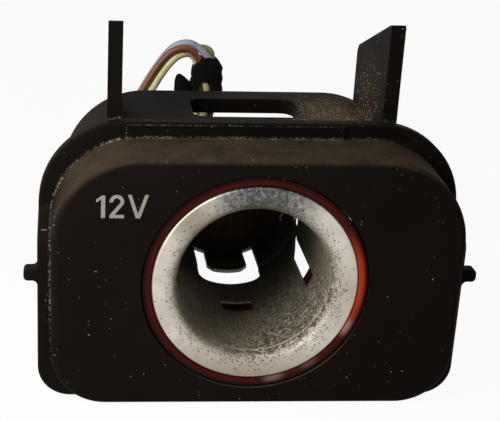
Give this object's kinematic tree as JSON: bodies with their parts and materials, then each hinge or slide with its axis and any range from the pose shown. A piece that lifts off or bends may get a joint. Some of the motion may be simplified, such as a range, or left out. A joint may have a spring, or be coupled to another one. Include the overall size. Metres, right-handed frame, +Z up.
{
  "type": "car power socket",
  "caption": "Car 12 V power socket: plated steel barrel with a clear red lit ring, in a rounded plastic bezel and a flanged carrier frame with upright fins.",
  "frame": {"origin": "on the bore axis, where the rounded mouth ends and the straight bore starts", "axes": "+X right seen from the front, +Y into the socket, +Z up"},
  "size_m": [0.0624, 0.054, 0.0515],
  "materials": {
    "plated_steel": "satin nickel plate, pitted",
    "bezel_plastic": "fine grain, dusty",
    "ring_plastic": "clear red",
    "frame_plastic": "plain moulded, dusty",
    "insulator_plastic": "dark brown, smooth",
    "contact_brass": "tarnished",
    "terminal_brass": "bright",
    "housing_plastic": "plain moulded",
    "grommet_rubber": "matte",
    "holder_plastic": "plain moulded",
    "lamp_glass": "clear",
    "wire_brown_sheath": "soft sheath",
    "wire_cream_sheath": "soft sheath",
    "wire_grey_sheath": "soft sheath",
    "wire_green_sheath": "soft sheath",
    "cloth_tape": "woven, matte"
  },
  "bodies": {
    "root": {"socket_barrel": "plated_steel", "front_bezel": "bezel_plastic", "light_ring": "ring_plastic", "carrier_frame": "frame_plastic", "base_insulator": "insulator_plastic", "centre_contact": "contact_brass", "positive_terminal": "terminal_brass", "terminal_washer": "terminal_brass", "ground_terminal": "terminal_brass", "ground_rivet": "terminal_brass", "terminal_housing": "housing_plastic", "wire_grommet": "grommet_rubber", "lamp_holder": "holder_plastic", "lamp_contact_left": "terminal_brass", "lamp_contact_right": "terminal_brass", "lamp_bulb": "lamp_glass", "wire_brown": "wire_brown_sheath", "wire_cream": "wire_cream_sheath", "wire_grey": "wire_grey_sheath", "wire_green": "wire_green_sheath", "tape_wrap": "cloth_tape"}
  },
  "joints": []
}
